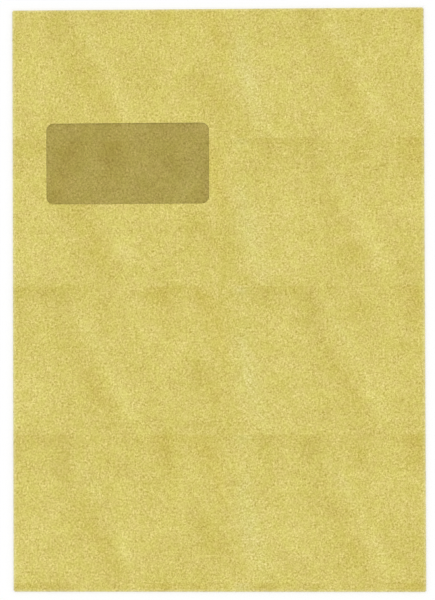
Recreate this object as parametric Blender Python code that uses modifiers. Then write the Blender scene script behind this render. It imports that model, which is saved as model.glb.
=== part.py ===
"""A C4 pocket envelope of manila kraft paper with a window, empty and unused.

It lies on its back, window side up. The paper is one die-cut blank: the front panel carries a
back panel on each side, a bottom flap and a seal flap, and all four are folded behind it.
The origin is on the surface that it lies on, under its middle. +X is to the right on the
window side, +Y is towards the seal flap's fold, and +Z is up.
"""

import math
from collections import namedtuple

import bmesh
import bpy

MM = 0.001

# Envelope, measured over its folds
ENVELOPE_WIDTH = 229 * MM
ENVELOPE_HEIGHT = 324 * MM
PAPER_THICKNESS = 0.12 * MM

# Window hole in the front panel
WINDOW_WIDTH = 90.6 * MM
WINDOW_HEIGHT = 45 * MM
WINDOW_CORNER_RADIUS = 4 * MM
WINDOW_FROM_LEFT = 19 * MM
WINDOW_FROM_BOTTOM = 215.5 * MM

# Film patch glued behind the window
FILM_MARGIN = 9 * MM
FILM_THICKNESS = 0.04 * MM

# Back panels, which overlap in the middle and stop short of the end folds
SEAM_OVERLAP = 18 * MM
BACK_SETBACK = 2 * MM
BACK_SETBACK_RUN = 5 * MM

# Flaps: how far each reaches from its fold, and how its sides and corners are cut
BOTTOM_FLAP_DEPTH = 25 * MM
BOTTOM_FLAP_TAPER = 7 * MM
BOTTOM_FLAP_CORNER_RADIUS = 3 * MM
SEAL_FLAP_DEPTH = 45 * MM
SEAL_FLAP_TAPER = 10 * MM
SEAL_FLAP_CORNER_RADIUS = 10 * MM

# Band of dried gum on the inner side of the seal flap
GUM_WIDTH = 16 * MM
GUM_THICKNESS = 0.04 * MM
GUM_FROM_FLAP_EDGE = 5 * MM
GUM_FROM_FLAP_SIDES = 3 * MM
GUM_CORNER_RADIUS = 3 * MM

# Room between layers, and how far the empty pocket springs up in the middle
GLUE_GAP = 0.04 * MM
POCKET_GAP = 0.5 * MM
FRONT_RISE = 2 * MM

# Fineness of the curved stretches
FRONT_COLUMNS = 20
FRONT_ROWS = 26
FOLD_STEPS = 6
CORNER_STEPS = 6

# Linear colours, and how matt and how solid each surface looks
KRAFT_COLOUR = (0.67, 0.57, 0.16)
KRAFT_ROUGHNESS = 0.85
FILM_COLOUR = (0.8, 0.78, 0.7)
FILM_ROUGHNESS = 0.15
FILM_ALPHA = 0.35
GUM_COLOUR = (0.6, 0.55, 0.35)
GUM_ROUGHNESS = 0.35

# Height of the middle of each layer, from the surface up
FLAP_Z = PAPER_THICKNESS / 2
RIGHT_PANEL_Z = FLAP_Z + PAPER_THICKNESS + GUM_THICKNESS + 2 * GLUE_GAP
LEFT_PANEL_Z = RIGHT_PANEL_Z + PAPER_THICKNESS + GLUE_GAP
FRONT_Z = LEFT_PANEL_Z + PAPER_THICKNESS + POCKET_GAP + FILM_THICKNESS + GLUE_GAP
FILM_Z = FRONT_Z - PAPER_THICKNESS / 2 - GLUE_GAP - FILM_THICKNESS / 2
GUM_Z = FLAP_Z + PAPER_THICKNESS / 2 + GLUE_GAP + GUM_THICKNESS / 2

# A fold's line is where its bend starts, from the middle of the front panel. A flap's length is
# that of its flat part, past the bend.
Fold = namedtuple("Fold", "line radius")
Flap = namedtuple("Flap", "length taper corner_radius")


def fold_behind(half_size, layer_z):
    """The fold that takes the paper from the front panel to a layer behind it."""
    radius = (FRONT_Z - layer_z) / 2
    return Fold(half_size - radius - PAPER_THICKNESS / 2, radius)


LEFT_FOLD = fold_behind(ENVELOPE_WIDTH / 2, LEFT_PANEL_Z)
RIGHT_FOLD = fold_behind(ENVELOPE_WIDTH / 2, RIGHT_PANEL_Z)
END_FOLD = fold_behind(ENVELOPE_HEIGHT / 2, FLAP_Z)


def flap_of(depth, taper, corner_radius):
    """A flap whose edge lies depth inside the end of the envelope once it is folded."""
    return Flap(depth - ENVELOPE_HEIGHT / 2 + END_FOLD.line, taper, corner_radius)


BOTTOM_FLAP = flap_of(BOTTOM_FLAP_DEPTH, BOTTOM_FLAP_TAPER, BOTTOM_FLAP_CORNER_RADIUS)
SEAL_FLAP = flap_of(SEAL_FLAP_DEPTH, SEAL_FLAP_TAPER, SEAL_FLAP_CORNER_RADIUS)


def collection_named(name):
    collection = bpy.data.collections.new(name)
    bpy.context.scene.collection.children.link(collection)
    return collection


def material_named(name, colour, roughness, alpha=1.0):
    material = bpy.data.materials.new(name)
    material.use_nodes = True
    shader = material.node_tree.nodes["Principled BSDF"]
    shader.inputs["Base Color"].default_value = (*colour, 1.0)
    shader.inputs["Roughness"].default_value = roughness
    shader.inputs["Metallic"].default_value = 0.0
    shader.inputs["Alpha"].default_value = alpha
    return material


def object_from(bm, name, collection, material=None):
    mesh = bpy.data.meshes.new(name)
    bm.to_mesh(mesh)
    bm.free()
    obj = bpy.data.objects.new(name, mesh)
    collection.objects.link(obj)
    if material:
        mesh.materials.append(material)
    return obj


def even_steps(start, end, count):
    return [start + (end - start) * i / count for i in range(count + 1)]


def ruled_sheet(columns, rows):
    """A flat sheet with a vertex wherever one of the columns crosses one of the rows."""
    bm = bmesh.new()
    last_column = len(columns) - 1
    last_row = len(rows) - 1
    bmesh.ops.create_grid(bm, x_segments=last_column, y_segments=last_row, size=1.0)
    for vertex in bm.verts:
        column = round((vertex.co.x + 1) / 2 * last_column)
        row = round((vertex.co.y + 1) / 2 * last_row)
        vertex.co = (columns[column], rows[row], 0.0)
    return bm


def thicken(obj, thickness):
    """Gives a sheet its thickness, half to each side of the surface it is drawn on."""
    solidify = obj.modifiers.new("Thickness", "SOLIDIFY")
    solidify.thickness = thickness
    solidify.offset = 0.0
    solidify.use_even_offset = True
    solidify.use_quality_normals = True


def rounded_block(name, size, centre, corner_radius, collection, material=None):
    """A block with its four upright edges rounded."""
    bm = bmesh.new()
    bmesh.ops.create_cube(bm, size=1.0)
    bmesh.ops.scale(bm, vec=size, verts=bm.verts)
    upright = [e for e in bm.edges if abs(e.verts[0].co.z - e.verts[1].co.z) > size[2] / 2]
    bmesh.ops.bevel(
        bm,
        geom=upright,
        offset=corner_radius,
        segments=CORNER_STEPS,
        profile=0.5,
        affect="EDGES",
    )
    obj = object_from(bm, name, collection, material)
    obj.location = centre
    return obj


def front_rise(x, y):
    """How far the front panel stands above its folds, from nothing at them to the full rise."""
    half_width = LEFT_FOLD.line if x < 0 else RIGHT_FOLD.line
    across = math.cos(math.pi / 2 * x / half_width)
    along = math.cos(math.pi / 2 * y / END_FOLD.line)
    return FRONT_RISE * across * along


def wrapped(distance, radius):
    """Where paper lies that runs this far past a bend's start: how far out, and how far down."""
    bend = math.pi * radius
    if distance >= bend:
        return bend - distance, 2 * radius
    angle = distance / radius
    return radius * math.sin(angle), radius * (1 - math.cos(angle))


def panel_lines(fold):
    """Distances past the fold's start of a back panel's grid lines, out to its free edge."""
    bend = math.pi * fold.radius
    free_edge = bend + fold.line + SEAM_OVERLAP / 2
    return even_steps(0, bend, FOLD_STEPS)[1:] + [bend + BACK_SETBACK_RUN, free_edge]


def flap_lines(flap):
    """Distances past the end fold's start of a flap's grid lines, out to its free edge."""
    bend = math.pi * END_FOLD.radius
    corner_start = bend + flap.length - flap.corner_radius
    quarter_turn = even_steps(0, math.pi / 2, CORNER_STEPS)
    corner = [corner_start + flap.corner_radius * math.sin(angle) for angle in quarter_turn]
    return even_steps(0, bend, FOLD_STEPS)[1:] + corner


def flap_inset(distance, flap):
    """How far each side of a flap is cut in, this far past the end fold's start."""
    whole = math.pi * END_FOLD.radius + flap.length
    into_corner = max(distance - (whole - flap.corner_radius), 0.0)
    rest_of_corner = max(flap.corner_radius**2 - into_corner**2, 0.0)
    corner = flap.corner_radius - math.sqrt(rest_of_corner)
    return flap.taper * distance / whole + corner


def panel_setback(distance, fold):
    """How far the ends of a back panel are cut back, this far past its fold's start."""
    past_bend = max(distance - math.pi * fold.radius, 0.0)
    return BACK_SETBACK * min(past_bend / BACK_SETBACK_RUN, 1.0)


def folded(u, v):
    """Takes a point of the blank's grid to where the cut and folded paper has it."""
    side_fold = LEFT_FOLD if u < 0 else RIGHT_FOLD
    past_side = abs(u) - side_fold.line
    past_end = abs(v) - END_FOLD.line
    if past_side > max(past_end, 0):
        out, down = wrapped(past_side, side_fold.radius)
        x = (side_fold.line + out) * (-1 if u < 0 else 1)
        y = v * (1 - panel_setback(past_side, side_fold) / END_FOLD.line)
        return x, y, FRONT_Z - down
    if past_end > 0:
        flap = BOTTOM_FLAP if v < 0 else SEAL_FLAP
        out, down = wrapped(past_end, END_FOLD.radius)
        x = u * (1 - flap_inset(past_end, flap) / side_fold.line)
        y = (END_FOLD.line + out) * (-1 if v < 0 else 1)
        return x, y, FRONT_Z - down
    return u, v, FRONT_Z + front_rise(u, v)


def window_centre():
    x = -ENVELOPE_WIDTH / 2 + WINDOW_FROM_LEFT + WINDOW_WIDTH / 2
    y = -ENVELOPE_HEIGHT / 2 + WINDOW_FROM_BOTTOM + WINDOW_HEIGHT / 2
    return x, y


def make_paper(collection, cutters):
    """The blank, ruled along its folds, with its four corners cut away, folded and windowed."""
    front_columns = even_steps(-LEFT_FOLD.line, RIGHT_FOLD.line, FRONT_COLUMNS)
    front_rows = even_steps(-END_FOLD.line, END_FOLD.line, FRONT_ROWS)
    left = [-LEFT_FOLD.line - d for d in reversed(panel_lines(LEFT_FOLD))]
    right = [RIGHT_FOLD.line + d for d in panel_lines(RIGHT_FOLD)]
    bottom = [-END_FOLD.line - d for d in reversed(flap_lines(BOTTOM_FLAP))]
    top = [END_FOLD.line + d for d in flap_lines(SEAL_FLAP)]
    columns = left + front_columns + right
    rows = bottom + front_rows + top
    blank = ruled_sheet(columns, rows)

    def off_the_blank(point):
        beside = not front_columns[0] <= point.x <= front_columns[-1]
        beyond = not front_rows[0] <= point.y <= front_rows[-1]
        return beside and beyond

    waste = [face for face in blank.faces if off_the_blank(face.calc_center_median())]
    bmesh.ops.delete(blank, geom=waste, context="FACES")
    for vertex in blank.verts:
        vertex.co = folded(vertex.co.x, vertex.co.y)
    kraft = material_named("kraft_paper", KRAFT_COLOUR, KRAFT_ROUGHNESS)
    paper = object_from(blank, "envelope_paper", collection, kraft)
    thicken(paper, PAPER_THICKNESS)

    # The cutter starts halfway down the pocket, so it goes through the front panel alone.
    cut_bottom = (FRONT_Z + LEFT_PANEL_Z) / 2
    cut_top = FRONT_Z + FRONT_RISE + PAPER_THICKNESS
    size = (WINDOW_WIDTH, WINDOW_HEIGHT, cut_top - cut_bottom)
    x, y = window_centre()
    centre = (x, y, (cut_top + cut_bottom) / 2)
    cutter = rounded_block("window_cutter", size, centre, WINDOW_CORNER_RADIUS, cutters)
    cutter.hide_render = True
    cutter.display_type = "WIRE"
    hole = paper.modifiers.new("Window", "BOOLEAN")
    hole.operation = "DIFFERENCE"
    hole.solver = "EXACT"
    hole.object = cutter


def make_film(collection):
    """A square-cut patch that follows the inside of the front panel all round the window."""
    x, y = window_centre()
    reach_x = WINDOW_WIDTH / 2 + FILM_MARGIN
    reach_y = WINDOW_HEIGHT / 2 + FILM_MARGIN
    columns_across = math.ceil(2 * reach_x / (ENVELOPE_WIDTH / FRONT_COLUMNS))
    rows_along = math.ceil(2 * reach_y / (ENVELOPE_HEIGHT / FRONT_ROWS))
    columns = even_steps(x - reach_x, x + reach_x, columns_across)
    rows = even_steps(y - reach_y, y + reach_y, rows_along)
    patch = ruled_sheet(columns, rows)
    for vertex in patch.verts:
        vertex.co.z = FILM_Z + front_rise(vertex.co.x, vertex.co.y)
    clear_film = material_named("clear_film", FILM_COLOUR, FILM_ROUGHNESS, FILM_ALPHA)
    film = object_from(patch, "window_film", collection, clear_film)
    thicken(film, FILM_THICKNESS)


def make_gum(collection):
    """A band along the seal flap's free edge, on the side that faces the back panels."""
    flap_edge = ENVELOPE_HEIGHT / 2 - SEAL_FLAP_DEPTH
    edge_distance = math.pi * END_FOLD.radius + SEAL_FLAP.length - GUM_FROM_FLAP_EDGE
    half_width = LEFT_FOLD.line - flap_inset(edge_distance, SEAL_FLAP)
    size = (2 * (half_width - GUM_FROM_FLAP_SIDES), GUM_WIDTH, GUM_THICKNESS)
    centre = (0.0, flap_edge + GUM_FROM_FLAP_EDGE + GUM_WIDTH / 2, GUM_Z)
    dried_gum = material_named("dried_gum", GUM_COLOUR, GUM_ROUGHNESS)
    rounded_block("seal_gum", size, centre, GUM_CORNER_RADIUS, collection, dried_gum)


for old in list(bpy.data.objects):
    bpy.data.objects.remove(old)
envelope = collection_named("window_envelope")
tools = collection_named("cutters")
make_paper(envelope, tools)
make_film(envelope)
make_gum(envelope)
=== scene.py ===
"""A C4 window envelope of manila kraft paper, empty and unused, lying window side up."""

import math
from collections import namedtuple

import bmesh
import bpy
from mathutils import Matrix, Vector, noise


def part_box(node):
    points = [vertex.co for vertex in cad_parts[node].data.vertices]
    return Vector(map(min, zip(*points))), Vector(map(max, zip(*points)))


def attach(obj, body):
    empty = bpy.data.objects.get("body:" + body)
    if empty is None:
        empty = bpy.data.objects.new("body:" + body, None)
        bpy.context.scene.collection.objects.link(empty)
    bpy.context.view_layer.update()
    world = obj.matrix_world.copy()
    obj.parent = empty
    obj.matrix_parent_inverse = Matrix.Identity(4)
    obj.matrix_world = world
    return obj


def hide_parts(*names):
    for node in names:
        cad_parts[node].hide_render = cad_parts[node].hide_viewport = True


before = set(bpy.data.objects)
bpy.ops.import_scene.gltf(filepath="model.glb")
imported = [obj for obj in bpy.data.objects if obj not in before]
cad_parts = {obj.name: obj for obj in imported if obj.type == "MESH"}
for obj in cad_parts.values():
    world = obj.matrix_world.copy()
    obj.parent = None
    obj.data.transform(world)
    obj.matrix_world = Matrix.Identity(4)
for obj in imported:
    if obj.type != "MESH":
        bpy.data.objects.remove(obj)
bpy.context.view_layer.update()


# The sheet of paper. It is one die-cut blank of manila kraft, dyed right through, with a window
# punched in its front panel. A back panel folds in from each side and the two are glued in a
# seam, the bottom flap is glued up over them, and the seal flap is folded down behind, loose.

MM = 0.001
PAPER_THICKNESS = 0.12 * MM
GLUE_GAP = 0.04 * MM
FRONT_RISE = 2 * MM
FRONT_COCKLE = 0.3 * MM
COCKLE_SPAN = 55 * MM
COCKLE_SWING = 0.6

# The back panels spring up with the front one, between the flaps that hold them down. There the
# pocket also closes a little, and the outer panel's free edge hangs down off the inner panel.
LIFT_RUN = 24 * MM
POCKET_CLOSING = 0.32 * MM
CLOSING_RUN = 16 * MM
SEAM_DROOP = 0.14 * MM
DROOP_RUN = 5 * MM

SEAM_OVERLAP = 18 * MM
BACK_SETBACK = 2 * MM
BACK_SETBACK_RUN = 5 * MM
BOTTOM_FLAP_DEPTH = 25 * MM
BOTTOM_FLAP_TAPER = 7 * MM
BOTTOM_FLAP_CORNER_RADIUS = 3 * MM
SEAL_FLAP_DEPTH = 45 * MM
SEAL_FLAP_TAPER = 10 * MM
SEAL_FLAP_CORNER_RADIUS = 10 * MM

FILM_MARGIN = 9 * MM
WINDOW_CORNER_RADIUS = 4 * MM
PUNCH_THICKNESS = 3 * PAPER_THICKNESS

GRID_PITCH = 4 * MM
FOLD_STEPS = 10
CORNER_STEPS = 8
CUT_EDGE_ANGLE = math.radians(40)

paper_low, paper_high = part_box("envelope_paper")
film_low, film_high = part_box("window_film")
gum_low, gum_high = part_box("seal_gum")
window_middle = (film_low + film_high) / 2
window_half_width = (film_high.x - film_low.x) / 2 - FILM_MARGIN
window_half_height = (film_high.y - film_low.y) / 2 - FILM_MARGIN

# Height of the middle of each layer of paper, from the table up.
flap_z = paper_low.z + PAPER_THICKNESS / 2
right_panel_z = gum_high.z + GLUE_GAP + PAPER_THICKNESS / 2
left_panel_z = right_panel_z + PAPER_THICKNESS + GLUE_GAP
front_z = paper_high.z - FRONT_RISE - PAPER_THICKNESS / 2

# A fold's line is where its bend starts, from the middle of the front panel. A flap's length is
# that of its flat part, past the bend.
Fold = namedtuple("Fold", "line radius")
Flap = namedtuple("Flap", "length taper corner_radius")


def fold_behind(half_size, layer_z):
    radius = (front_z - layer_z) / 2
    return Fold(half_size - radius - PAPER_THICKNESS / 2, radius)


left_fold = fold_behind(paper_high.x, left_panel_z)
right_fold = fold_behind(paper_high.x, right_panel_z)
end_fold = fold_behind(paper_high.y, flap_z)


def flap_of(depth, taper, corner_radius):
    return Flap(depth - paper_high.y + end_fold.line, taper, corner_radius)


bottom_flap = flap_of(BOTTOM_FLAP_DEPTH, BOTTOM_FLAP_TAPER, BOTTOM_FLAP_CORNER_RADIUS)
seal_flap = flap_of(SEAL_FLAP_DEPTH, SEAL_FLAP_TAPER, SEAL_FLAP_CORNER_RADIUS)


def even_steps(start, end, pitch):
    count = max(round(abs(end - start) / pitch), 1)
    return [start + (end - start) * i / count for i in range(count + 1)]


def ruled_sheet(columns, rows):
    """A flat sheet, ruled by columns and rows."""
    sheet = bmesh.new()
    last_column = len(columns) - 1
    last_row = len(rows) - 1
    bmesh.ops.create_grid(sheet, x_segments=last_column, y_segments=last_row, size=1.0)
    for vertex in sheet.verts:
        column = round((vertex.co.x + 1) / 2 * last_column)
        row = round((vertex.co.y + 1) / 2 * last_row)
        vertex.co = (columns[column], rows[row], 0.0)
    return sheet


def keep_flat_place(sheet):
    """Keeps where each point lies on the flat sheet, in metres, as its UV."""
    flat_place = sheet.loops.layers.uv.new("flat_place")
    for face in sheet.faces:
        for loop in face.loops:
            loop[flat_place].uv = loop.vert.co.xy


def wrapped(distance, radius):
    """Where paper lies that runs this far past a bend's start: how far out, and how far down."""
    bend = math.pi * radius
    if distance >= bend:
        return bend - distance, 2 * radius
    angle = distance / radius
    return radius * math.sin(angle), radius * (1 - math.cos(angle))


def bend_lines(fold):
    return [math.pi * fold.radius * i / FOLD_STEPS for i in range(1, FOLD_STEPS + 1)]


def panel_lines(fold):
    """Distances past the fold's start of a back panel's grid lines, out to its free edge."""
    bend = math.pi * fold.radius
    free_edge = bend + fold.line + SEAM_OVERLAP / 2
    return bend_lines(fold) + even_steps(bend + BACK_SETBACK_RUN, free_edge, GRID_PITCH)


def flap_lines(flap):
    """Distances past the end fold's start of a flap's grid lines, out to its free edge."""
    bend = math.pi * end_fold.radius
    corner_start = bend + flap.length - flap.corner_radius
    turn = [math.pi / 2 * i / CORNER_STEPS for i in range(1, CORNER_STEPS + 1)]
    corner = [corner_start + flap.corner_radius * math.sin(angle) for angle in turn]
    return bend_lines(end_fold) + even_steps(bend, corner_start, GRID_PITCH)[1:] + corner


def flap_inset(distance, flap):
    """How far each side of a flap is cut in, this far past the end fold's start."""
    whole = math.pi * end_fold.radius + flap.length
    into_corner = max(distance - (whole - flap.corner_radius), 0.0)
    rest_of_corner = max(flap.corner_radius**2 - into_corner**2, 0.0)
    return flap.taper * distance / whole + flap.corner_radius - math.sqrt(rest_of_corner)


def panel_setback(distance, fold):
    """How far the ends of a back panel are cut back, this far past its fold's start."""
    past_bend = max(distance - math.pi * fold.radius, 0.0)
    return BACK_SETBACK * min(past_bend / BACK_SETBACK_RUN, 1.0)


def cockle(x, y):
    """The slow waves of paper that has taken up damp, from 0 to 1."""
    place = Vector((x / COCKLE_SPAN, y / COCKLE_SPAN, 0.0))
    return min(max(0.5 + COCKLE_SWING * noise.noise(place), 0.0), 1.0)


def away_from_folds(x, y):
    """From nothing at the four folds to 1 in the middle of a panel."""
    half_width = left_fold.line if x < 0 else right_fold.line
    across = math.cos(math.pi / 2 * x / half_width)
    along = math.cos(math.pi / 2 * y / end_fold.line)
    return max(across, 0.0) * max(along, 0.0)


def front_height(x, y):
    rise = FRONT_RISE - FRONT_COCKLE * cockle(x, y)
    return front_z + rise * away_from_folds(x, y)


def eased(distance, run):
    """From 0 to 1 over this run, without a kink at either end."""
    part = min(max(distance / run, 0.0), 1.0)
    return part * part * (3 - 2 * part)


def clear_of_flaps(y):
    """How far this is from the nearer of the two flaps, and below nothing on a flap."""
    clear_of_seal_flap = paper_high.y - SEAL_FLAP_DEPTH - y
    clear_of_bottom_flap = y - paper_low.y - BOTTOM_FLAP_DEPTH
    return min(clear_of_seal_flap, clear_of_bottom_flap)


def back_lift(x, y):
    """How far the back panels spring up off the table, as the front does, between the flaps."""
    clear_of_sides = min(x - paper_low.x, paper_high.x - x)
    closing = POCKET_CLOSING * eased(min(clear_of_flaps(y), clear_of_sides), CLOSING_RUN)
    return (front_height(x, y) - front_z) * eased(clear_of_flaps(y), LIFT_RUN) + closing


def seam_droop(x, y):
    """How far the outer back panel hangs down towards its free edge, from the glue on."""
    past_glue = DROOP_RUN - SEAM_OVERLAP / 2 - x
    return SEAM_DROOP * eased(past_glue, DROOP_RUN) * eased(clear_of_flaps(y), CLOSING_RUN)


def folded(u, v):
    """Takes a point of the blank's grid to where the cut and folded paper has it."""
    side = -1 if u < 0 else 1
    side_fold = left_fold if u < 0 else right_fold
    past_side = abs(u) - side_fold.line
    past_end = abs(v) - end_fold.line
    if past_side > max(past_end, 0):
        out, down = wrapped(past_side, side_fold.radius)
        x = (side_fold.line + out) * side
        y = v * (1 - panel_setback(past_side, side_fold) / end_fold.line)
        droop = seam_droop(x, y) if side > 0 else 0.0
        return x, y, front_z - down + back_lift(x, y) - droop
    if past_end > 0:
        flap = bottom_flap if v < 0 else seal_flap
        out, down = wrapped(past_end, end_fold.radius)
        x = u * (1 - flap_inset(past_end, flap) / side_fold.line)
        y = (end_fold.line + out) * (-1 if v < 0 else 1)
        return x, y, front_z - down
    return u, v, front_height(u, v)


def object_from(sheet, name, *materials):
    mesh = bpy.data.meshes.new(name)
    sheet.to_mesh(mesh)
    sheet.free()
    for material in materials:
        mesh.materials.append(material)
    made = bpy.data.objects.new(name, mesh)
    bpy.context.scene.collection.objects.link(made)
    return made


def thicken(sheet, thickness, edge_material=0):
    """Gives a sheet its thickness, half to each side of the surface it is drawn on."""
    solidify = sheet.modifiers.new("Thickness", "SOLIDIFY")
    solidify.thickness = thickness
    solidify.offset = 0.0
    solidify.use_even_offset = True
    solidify.use_quality_normals = True
    solidify.material_offset_rim = edge_material


def window_punch(material):
    """A pad in the window's shape that follows the front panel and goes through it alone."""
    turn = [math.pi / 2 * i / CORNER_STEPS for i in range(CORNER_STEPS + 1)]
    corner_start = window_half_width - WINDOW_CORNER_RADIUS
    corner = [corner_start + WINDOW_CORNER_RADIUS * math.sin(angle) for angle in turn]
    columns = [-x for x in reversed(corner[1:])]
    columns += even_steps(-corner_start, corner_start, GRID_PITCH) + corner[1:]
    punch = ruled_sheet(columns, even_steps(-1.0, 1.0, GRID_PITCH / window_half_height))
    for vertex in punch.verts:
        into_corner = max(abs(vertex.co.x) - corner_start, 0.0)
        rest_of_corner = math.sqrt(max(WINDOW_CORNER_RADIUS**2 - into_corner**2, 0.0))
        vertex.co.x += window_middle.x
        vertex.co.y *= window_half_height - WINDOW_CORNER_RADIUS + rest_of_corner
        vertex.co.y += window_middle.y
    keep_flat_place(punch)
    for vertex in punch.verts:
        vertex.co.z = front_height(vertex.co.x, vertex.co.y)
    pad = object_from(punch, "window_punch", material)
    thicken(pad, PUNCH_THICKNESS)
    return pad


def finish_mesh(piece):
    """Applies a piece's modifiers, and shades it smooth but for its cut edges."""
    shown = piece.evaluated_get(bpy.context.evaluated_depsgraph_get())
    mesh = bpy.data.meshes.new_from_object(shown)
    mesh.name = piece.name
    piece.modifiers.clear()
    piece.data = mesh
    mesh.shade_smooth()
    mesh.set_sharp_from_angle(angle=CUT_EDGE_ANGLE)


def new_material(name):
    material = bpy.data.materials.new(name)
    material.use_nodes = True
    material.node_tree.nodes.clear()
    return material


def add_node(material, kind, inputs, **settings):
    """Adds a shader node. Each input is a plain value, or the output of a node to link to it."""
    made = material.node_tree.nodes.new(kind)
    for name, value in settings.items():
        setattr(made, name, value)
    for socket, value in inputs.items():
        if isinstance(value, bpy.types.NodeSocket):
            material.node_tree.links.new(value, made.inputs[socket])
        else:
            made.inputs[socket].default_value = value
    return made


def flat_place_in_mm(material):
    place = add_node(material, "ShaderNodeUVMap", {}, uv_map="flat_place").outputs["UV"]
    inputs = {"Vector": place, "Scale": 1 / MM}
    scaled = add_node(material, "ShaderNodeVectorMath", inputs, operation="SCALE")
    return scaled.outputs["Vector"]


def calculate(material, operation, *values):
    inputs = dict(enumerate(values))
    return add_node(material, "ShaderNodeMath", inputs, operation=operation).outputs["Value"]


def blotches(material, place, size, detail=1.0, roughness=0.5):
    """Noise with blobs of about this size in mm, mostly from 0.2 to 0.8."""
    inputs = {"Vector": place, "Scale": 1 / size, "Detail": detail, "Roughness": roughness}
    made = add_node(material, "ShaderNodeTexNoise", inputs, noise_dimensions="2D")
    return made.outputs["Fac"]


def flecks(material, place, size):
    """Flecks of about this size in mm, each of one tone of its own, from 0 to 1."""
    inputs = {"Vector": place, "Scale": 1 / size}
    made = add_node(material, "ShaderNodeTexVoronoi", inputs, voronoi_dimensions="2D")
    return made.outputs["Color"]


def strands(material, place, width, length, slant):
    """Noise drawn out into strands that lean this many degrees from upright."""
    scale = (1 / width, 1 / length, 1.0)
    turn = (0.0, 0.0, math.radians(slant))
    inputs = {"Vector": place, "Rotation": turn, "Scale": scale}
    turned = add_node(material, "ShaderNodeMapping", inputs)
    return blotches(material, turned.outputs["Vector"], 1.0)


def ramped(material, value, low, high, at_low=0.0, at_high=1.0):
    inputs = {0: value, 1: low, 2: high, 3: at_low, 4: at_high}
    made = add_node(material, "ShaderNodeMapRange", inputs, interpolation_type="SMOOTHSTEP")
    return made.outputs["Result"]


def blended(material, factor, first, second, blend_type="MIX"):
    """Mixes two colours. The colour sockets of this node are its inputs 6 and 7, output 2."""
    inputs = {0: factor, 6: first, 7: second}
    made = add_node(
        material, "ShaderNodeMix", inputs, data_type="RGBA", blend_type=blend_type
    )
    return made.outputs[2]


# Tones of the sheet, in linear colour. Each pair is what its pattern runs between: the clouds are
# mixed from the first two, and the others multiply them. LEVELS is how many levels of tone or of
# blue lie between the two of a pair.
KRAFT_DEEP = (0.595, 0.493, 0.113, 1.0)
KRAFT_PALE = (0.726, 0.631, 0.187, 1.0)
YELLOW_PULP = (1.03, 0.99, 0.76, 1.0)
BLUISH_PULP = (0.97, 1.01, 1.24, 1.0)
PINKISH_PULP = (1.016, 0.984, 1.06, 1.0)
OLIVE_PULP = (0.984, 1.016, 0.94, 1.0)
DARK_GRAIN = (0.50, 0.455, 0.0, 1.0)
LIGHT_GRAIN = (1.50, 1.545, 2.0, 1.0)
LEVELS = 24.0

# Mottles of the sheet's tone and of its dye: their sizes in mm, and how many levels they vary by.
MOTTLES = ((30.0, 8.0), (11.0, 11.0), (4.5, 13.0))
DYE_SIZE = 10.0
DYE_LEVELS = 6.5

# The grain, in mm. Its strength comes and goes over patches, and fibres and flecks lie in it.
GRAIN_SIZE = 1.15
GRAIN_PATCH_SIZE = 5.0
FIBRE_WIDTH = 0.16
FIBRE_LENGTH = 2.2
FIBRE_SLANTS = (6, -42, 84)
FIBRE_MEAN = 0.6
FIBRE_STRENGTH = 0.4
FLECK_SIZE = 0.6
FLECK_STRENGTH = 0.34
GRAIN_DEPTH = 0.03 * MM

# The punched and cut edges are paler, and so are the crests of the folds, where the dye is rubbed
# off over a few mm, more in some patches than in others.
CUT_EDGE = (0.74, 0.66, 0.25, 1.0)
RUBBED = (0.93, 0.92, 0.63, 1.0)
RUB_STRENGTH = 0.24
RUB_REACH = 2.3
RUB_PATCH_SIZE = 3.0

# Clouds in the pulp, the same in each repeat down and across the sheet. A repeat also has a dark
# first edge, and past it darkens slowly to its last. A cloud's place is in mm to the right of and
# below the corner of its repeat. Its tone is how much paler it is than the sheet, in levels, and
# its blue is how much bluer.
REPEAT = (140.0, 82.3)
REPEAT_CORNER = (6.0, 7.6)
EDGE_DEPTH = 12.0
EDGE_TONE = -2.5
FIRST_TONE = 1.5
LAST_TONE = -0.5
SHEET_BLUE = -0.5
RAGGED_SIZE = 8.0
RAGGED_REACH = 6.0
Cloud = namedtuple("Cloud", "right down reach_across reach_along slant tone blue")
CLOUDS = (
    Cloud(20, 5, 14, 24, 4, -10, 1),
    Cloud(32, 2, 26, 12, 0, -5, 0),
    Cloud(45, 9, 16, 30, 2, -12, 1),
    Cloud(54, 36, 15, 36, 24, -8, 0),
    Cloud(68, 60, 14, 36, 28, -8, -2),
    Cloud(71, 12, 14, 22, 20, -7, -1),
    Cloud(63, 27, 7, 32, 32, 6, 3),
    Cloud(81, 62, 12, 34, 26, 13, 2),
    Cloud(103, 4, 18, 28, 8, -13, -3),
    Cloud(106, 18, 12, 20, 20, -5, -1),
    Cloud(126, 8, 15, 28, 30, -12, -4),
    Cloud(134, 28, 10, 30, 10, -5, -4),
    Cloud(123, 49, 12, 14, 20, -14, 0),
    Cloud(133, 60, 12, 24, 30, -8, -2),
    Cloud(110, 38, 16, 26, 0, 5, -1),
    Cloud(7, 2, 9, 10, 0, 2, 9),
    Cloud(8, 30, 9, 26, -6, 5, 6),
    Cloud(11, 50, 13, 30, 6, 12, 8),
    Cloud(18, 72, 12, 32, 17, 7, 4),
    Cloud(34, 58, 26, 42, 8, 7, 1),
)


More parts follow.
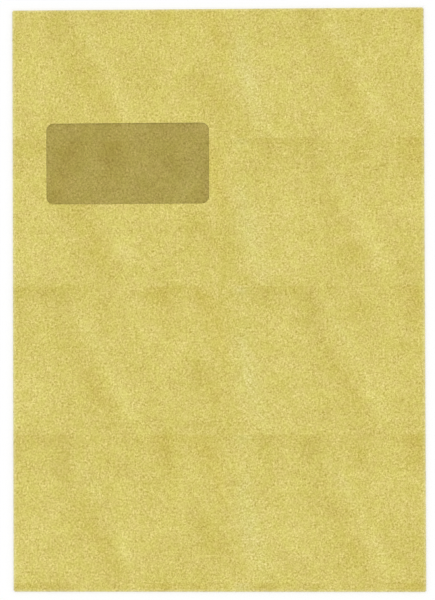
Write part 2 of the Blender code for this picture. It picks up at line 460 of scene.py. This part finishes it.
def repeating_clouds(material, place):
    """How much paler and how much bluer than the sheet the repeating clouds are, in levels."""
    into_repeat = add_node(
        material,
        "ShaderNodeVectorMath",
        {0: place, 1: (1.0, -1.0, 0.0), 2: (-REPEAT_CORNER[0], REPEAT_CORNER[1], 0.0)},
        operation="MULTIPLY_ADD",
    ).outputs["Vector"]
    repeated = add_node(
        material,
        "ShaderNodeVectorMath",
        {0: into_repeat, 1: (*REPEAT, 1.0), 2: (0.0, 0.0, -1.0)},
        operation="WRAP",
    ).outputs["Vector"]
    split = add_node(material, "ShaderNodeSeparateXYZ", {"Vector": repeated})
    stray = add_node(
        material,
        "ShaderNodeTexNoise",
        {"Vector": place, "Scale": 1 / RAGGED_SIZE, "Detail": 2.0},
        noise_dimensions="2D",
    ).outputs["Color"]
    centred = add_node(
        material, "ShaderNodeVectorMath", {0: stray, 1: (0.5, 0.5, 0.5)}, operation="SUBTRACT"
    ).outputs["Vector"]
    ragged = add_node(
        material,
        "ShaderNodeVectorMath",
        {0: centred, 1: (RAGGED_REACH, RAGGED_REACH, 0.0), 2: repeated},
        operation="MULTIPLY_ADD",
    ).outputs["Vector"]
    down = split.outputs["Y"]
    edge = ramped(material, down, 0.0, EDGE_DEPTH, EDGE_TONE, 0.0)
    drift = ramped(material, down, 0.0, REPEAT[1], FIRST_TONE, LAST_TONE)
    tone = calculate(material, "ADD", edge, drift)
    blue = SHEET_BLUE
    for cloud in CLOUDS:
        inputs = {
            "Vector": ragged,
            "Location": (cloud.right, cloud.down, 0.0),
            "Rotation": (0.0, 0.0, math.radians(-cloud.slant)),
            "Scale": (cloud.reach_across, cloud.reach_along, 1.0),
        }
        inside = add_node(material, "ShaderNodeMapping", inputs, vector_type="TEXTURE")
        inputs = {"Vector": inside.outputs["Vector"]}
        fade = add_node(
            material, "ShaderNodeTexGradient", inputs, gradient_type="QUADRATIC_SPHERE"
        )
        depth = fade.outputs["Fac"]
        tone = calculate(material, "MULTIPLY_ADD", depth, float(cloud.tone), tone)
        blue = calculate(material, "MULTIPLY_ADD", depth, float(cloud.blue), blue)
    return tone, blue


def rubbed_folds(material, place):
    """How far the dye is rubbed off at the crests of the folds, from 0 to 1."""
    split = add_node(material, "ShaderNodeSeparateXYZ", {"Vector": place})
    patches = blotches(material, place, RUB_PATCH_SIZE, 2.0)
    uneven = ramped(material, patches, 0.25, 0.75, 0.6, 1.4)
    rub = 0.0
    for axis, fold in (("X", left_fold), ("Y", end_fold)):
        crest = (fold.line + math.pi / 2 * fold.radius) / MM
        from_middle = calculate(material, "ABSOLUTE", split.outputs[axis])
        from_crest = calculate(material, "SUBTRACT", from_middle, crest)
        from_crest = calculate(material, "ABSOLUTE", from_crest)
        rubbed_here = ramped(material, from_crest, 0.0, RUB_REACH, RUB_STRENGTH, 0.0)
        rub = calculate(material, "MAXIMUM", rubbed_here, rub)
    return calculate(material, "MULTIPLY", rub, uneven)


def kraft_material(name, edge=False):
    kraft = new_material(name)
    place = flat_place_in_mm(kraft)

    tone, blue = repeating_clouds(kraft, place)
    for size, levels in MOTTLES:
        mottle = calculate(kraft, "SUBTRACT", blotches(kraft, place, size), 0.5)
        tone = calculate(kraft, "MULTIPLY_ADD", mottle, levels, tone)
    pale_part = calculate(kraft, "MULTIPLY_ADD", tone, 1 / LEVELS, 0.5)
    colour = blended(kraft, pale_part, KRAFT_DEEP, KRAFT_PALE)
    dye = calculate(kraft, "SUBTRACT", blotches(kraft, place, DYE_SIZE, 3.0, 0.75), 0.5)
    blue = calculate(kraft, "MULTIPLY_ADD", dye, DYE_LEVELS, blue)
    blue_part = calculate(kraft, "MULTIPLY_ADD", blue, 1 / LEVELS, 0.5)
    tint = blended(kraft, blue_part, YELLOW_PULP, BLUISH_PULP)
    colour = blended(kraft, 1.0, colour, tint, "MULTIPLY")
    pulp = ramped(kraft, blotches(kraft, place, DYE_SIZE, 3.0, 0.8), 0.25, 0.75)
    tint = blended(kraft, pulp, OLIVE_PULP, PINKISH_PULP)
    colour = blended(kraft, 1.0, colour, tint, "MULTIPLY")

    grain = calculate(kraft, "SUBTRACT", blotches(kraft, place, GRAIN_SIZE, 3.0, 0.7), 0.5)
    vigour = ramped(kraft, blotches(kraft, place, GRAIN_PATCH_SIZE), 0.3, 0.7, 0.6, 1.25)
    fibres = 0.0
    for slant in FIBRE_SLANTS:
        one_way = strands(kraft, place, FIBRE_WIDTH, FIBRE_LENGTH, slant)
        fibres = calculate(kraft, "MAXIMUM", fibres, one_way)
    fibres = calculate(kraft, "SUBTRACT", fibres, FIBRE_MEAN)
    fibres = calculate(kraft, "MULTIPLY", fibres, FIBRE_STRENGTH)
    texture = calculate(kraft, "MULTIPLY_ADD", grain, vigour, fibres)
    specks = calculate(kraft, "SUBTRACT", flecks(kraft, place, FLECK_SIZE), 0.5)
    texture = calculate(kraft, "MULTIPLY_ADD", specks, FLECK_STRENGTH, texture)
    texture = calculate(kraft, "ADD", texture, 0.5)
    grain_colour = blended(kraft, texture, DARK_GRAIN, LIGHT_GRAIN)
    colour = blended(kraft, 1.0, colour, grain_colour, "MULTIPLY")
    colour = blended(kraft, rubbed_folds(kraft, place), colour, RUBBED)
    if edge:
        colour = blended(kraft, 0.5, colour, CUT_EDGE)

    roughness = ramped(kraft, texture, 0.2, 0.8, 0.92, 0.78)
    bump = add_node(
        kraft, "ShaderNodeBump", {"Height": texture, "Strength": 0.5, "Distance": GRAIN_DEPTH}
    )
    shader = add_node(
        kraft,
        "ShaderNodeBsdfPrincipled",
        {
            "Base Color": colour,
            "Roughness": roughness,
            "Specular IOR Level": 0.2,
            "Normal": bump.outputs["Normal"],
        },
    )
    add_node(kraft, "ShaderNodeOutputMaterial", {"Surface": shader.outputs["BSDF"]})
    return kraft


def off_the_blank(point):
    beside = not -left_fold.line <= point.x <= right_fold.line
    beyond = abs(point.y) > end_fold.line
    return beside and beyond


left_columns = [-left_fold.line - d for d in reversed(panel_lines(left_fold))]
front_columns = even_steps(-left_fold.line, right_fold.line, GRID_PITCH)
right_columns = [right_fold.line + d for d in panel_lines(right_fold)]
bottom_rows = [-end_fold.line - d for d in reversed(flap_lines(bottom_flap))]
front_rows = even_steps(-end_fold.line, end_fold.line, GRID_PITCH)
top_rows = [end_fold.line + d for d in flap_lines(seal_flap)]

all_columns = left_columns + front_columns + right_columns
all_rows = bottom_rows + front_rows + top_rows
blank = ruled_sheet(all_columns, all_rows)
waste = [face for face in blank.faces if off_the_blank(face.calc_center_median())]
bmesh.ops.delete(blank, geom=waste, context="FACES")
keep_flat_place(blank)
for vertex in blank.verts:
    vertex.co = folded(vertex.co.x, vertex.co.y)

kraft_paper = kraft_material("kraft_paper")
kraft_cut_edge = kraft_material("kraft_cut_edge", edge=True)
paper = object_from(blank, "kraft_sheet", kraft_paper, kraft_cut_edge)
thicken(paper, PAPER_THICKNESS, edge_material=1)
punch = window_punch(kraft_cut_edge)
window_hole = paper.modifiers.new("Window", "BOOLEAN")
window_hole.operation = "DIFFERENCE"
window_hole.solver = "EXACT"
window_hole.material_mode = "TRANSFER"
window_hole.object = punch
finish_mesh(paper)
bpy.data.objects.remove(punch)
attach(paper, "root")
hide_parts("envelope_paper")


# The window film. It is a square-cut patch of thin clear film, a little larger than the window,
# glued to the inside of the front panel all round the hole, and it ripples slightly in the hole.

FILM_THICKNESS = 0.04 * MM
FILM_PITCH = 2 * MM
FILM_RIPPLE = 0.12 * MM
RIPPLE_SPAN = 24 * MM
HAZE_SIZE = 14.0
DRAWN_LINE_WIDTH = 0.5
DRAWN_LINE_LENGTH = 30.0
FILM_TINT = (0.901, 0.887, 0.849, 1.0)
FILM_HAZE = (0.888, 0.873, 0.835, 1.0)


def film_height(x, y):
    inside_x = max(1 - (abs(x - window_middle.x) / window_half_width) ** 4, 0.0)
    inside_y = max(1 - (abs(y - window_middle.y) / window_half_height) ** 4, 0.0)
    wave = noise.noise(Vector((x / RIPPLE_SPAN, y / RIPPLE_SPAN, 3.0)))
    beneath = PAPER_THICKNESS / 2 + GLUE_GAP + FILM_THICKNESS / 2
    return front_height(x, y) - beneath + FILM_RIPPLE * wave * inside_x * inside_y


def film_material():
    film = new_material("clear_film")
    place = flat_place_in_mm(film)
    haze = ramped(film, blotches(film, place, HAZE_SIZE, 2.0), 0.3, 0.7)
    drawn_lines = strands(film, place, DRAWN_LINE_WIDTH, DRAWN_LINE_LENGTH, 90)
    tint = blended(film, haze, FILM_TINT, FILM_HAZE)
    clear = add_node(film, "ShaderNodeBsdfTransparent", {"Color": tint})
    roughness = ramped(film, drawn_lines, 0.3, 0.7, 0.08, 0.16)
    gloss = add_node(film, "ShaderNodeBsdfGlossy", {"Roughness": roughness})
    inner_side = add_node(film, "ShaderNodeNewGeometry", {}).outputs["Backfacing"]
    outer_side = calculate(film, "SUBTRACT", 1.0, inner_side)
    fresnel = add_node(film, "ShaderNodeFresnel", {"IOR": 1.3}).outputs["Fac"]
    shine = calculate(film, "MULTIPLY", fresnel, outer_side)
    surface = add_node(
        film, "ShaderNodeMixShader", {0: shine, 1: clear.outputs["BSDF"], 2: gloss.outputs["BSDF"]}
    )
    add_node(film, "ShaderNodeOutputMaterial", {"Surface": surface.outputs["Shader"]})
    return film


patch = ruled_sheet(
    even_steps(film_low.x, film_high.x, FILM_PITCH), even_steps(film_low.y, film_high.y, FILM_PITCH)
)
keep_flat_place(patch)
for vertex in patch.verts:
    vertex.co.z = film_height(vertex.co.x, vertex.co.y)
film = object_from(patch, "clear_window_film", film_material())
thicken(film, FILM_THICKNESS)
finish_mesh(film)
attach(film, "root")
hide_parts("window_film")


# The seal gum. It is a band of gum that was rolled on wet along the seal flap's free edge and has
# dried to a glossy skin, streaked along its length. It lies between the flap and the back.

GUM_PALE = (0.66, 0.6, 0.36, 1.0)
GUM_AMBER = (0.52, 0.44, 0.22, 1.0)
STREAK_LENGTH = 25 * MM
STREAK_WIDTH = 0.9 * MM
STREAK_DEPTH = 0.02 * MM


def gum_material():
    gum = new_material("dried_gum")
    place = add_node(gum, "ShaderNodeTexCoord", {}).outputs["Object"]
    inputs = {"Vector": place, "Scale": (1 / STREAK_LENGTH, 1 / STREAK_WIDTH, 1.0)}
    streaked = add_node(gum, "ShaderNodeMapping", inputs).outputs["Vector"]
    streaks = blotches(gum, streaked, 1.0, 2.0)
    colour = blended(gum, ramped(gum, streaks, 0.25, 0.75), GUM_PALE, GUM_AMBER)
    roughness = ramped(gum, streaks, 0.25, 0.75, 0.25, 0.45)
    bump = add_node(
        gum, "ShaderNodeBump", {"Height": streaks, "Strength": 0.4, "Distance": STREAK_DEPTH}
    )
    shader = add_node(
        gum,
        "ShaderNodeBsdfPrincipled",
        {"Base Color": colour, "Roughness": roughness, "Normal": bump.outputs["Normal"]},
    )
    add_node(gum, "ShaderNodeOutputMaterial", {"Surface": shader.outputs["BSDF"]})
    return gum


gum_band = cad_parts["seal_gum"]
gum_band.data.materials.clear()
gum_band.data.materials.append(gum_material())


# The table and the light. The table is a plain white board, which the camera sees as pure white
# but for the envelope's shadow. The light is an even white sky with a soft lamp up to the left.

TABLE_SIZE = 6.0
TABLE_DROP = 0.05 * MM
TABLE_WHITE = (0.85, 0.85, 0.85, 1.0)
TABLE_GLOW = 0.15
SKY_STRENGTH = 0.88
LAMP_STRENGTH = 0.44
LAMP_SPREAD = math.radians(14)
LAMP_LEAN = math.radians(28)
LAMP_TURN = math.radians(-18)


def seen_directly(tree):
    """1 for what the camera sees itself, in gloss or through film, and 0 for light on things."""
    path = tree.nodes.new("ShaderNodeLightPath")
    total = path.outputs["Is Camera Ray"]
    for ray in ("Is Glossy Ray", "Is Transmission Ray"):
        added = tree.nodes.new("ShaderNodeMath")
        added.operation = "ADD"
        added.use_clamp = True
        tree.links.new(total, added.inputs[0])
        tree.links.new(path.outputs[ray], added.inputs[1])
        total = added.outputs["Value"]
    return total


board = new_material("white_board")
board_white = add_node(board, "ShaderNodeBsdfDiffuse", {"Color": TABLE_WHITE})
glow = calculate(board, "MULTIPLY", seen_directly(board.node_tree), TABLE_GLOW)
board_glow = add_node(board, "ShaderNodeEmission", {"Strength": glow})
board_sum = add_node(
    board,
    "ShaderNodeAddShader",
    {0: board_white.outputs["BSDF"], 1: board_glow.outputs["Emission"]},
)
add_node(board, "ShaderNodeOutputMaterial", {"Surface": board_sum.outputs["Shader"]})

bpy.ops.mesh.primitive_plane_add(size=TABLE_SIZE, location=(0.0, 0.0, paper_low.z - TABLE_DROP))
table = bpy.context.object
table.name = "table"
table.data.materials.append(board)

sky = bpy.data.worlds.new("white_sky")
sky.use_nodes = True
bpy.context.scene.world = sky
sky_light = sky.node_tree.nodes["Background"]
sky_light.inputs["Color"].default_value = (1.0, 1.0, 1.0, 1.0)
strength = sky.node_tree.nodes.new("ShaderNodeMapRange")
strength.inputs["To Min"].default_value = SKY_STRENGTH
strength.inputs["To Max"].default_value = 1.0
sky.node_tree.links.new(seen_directly(sky.node_tree), strength.inputs["Value"])
sky.node_tree.links.new(strength.outputs["Result"], sky_light.inputs["Strength"])

lamp_light = bpy.data.lights.new("soft_lamp", "SUN")
lamp_light.energy = LAMP_STRENGTH
lamp_light.angle = LAMP_SPREAD
lamp = bpy.data.objects.new("soft_lamp", lamp_light)
lamp.rotation_euler = (LAMP_LEAN, 0.0, math.pi - LAMP_TURN)
bpy.context.scene.collection.objects.link(lamp)


# The camera. It looks straight down on the envelope from as far off as fills the frame, turned
# and tipped by the small amounts by which the photographed outline is out of true.

CAMERA_LENS = 85.0
CAMERA_PLACE = (16.10 * MM, -6.59 * MM, 788.13 * MM)
CAMERA_TURN = (0.470, 1.206, -0.201)

camera_data = bpy.data.cameras.new("camera")
camera_data.lens = CAMERA_LENS
camera = bpy.data.objects.new("camera", camera_data)
camera.location = CAMERA_PLACE
camera.rotation_euler = [math.radians(angle) for angle in CAMERA_TURN]
bpy.context.scene.collection.objects.link(camera)
bpy.context.scene.camera = camera
bpy.context.scene.view_settings.view_transform = "Standard"
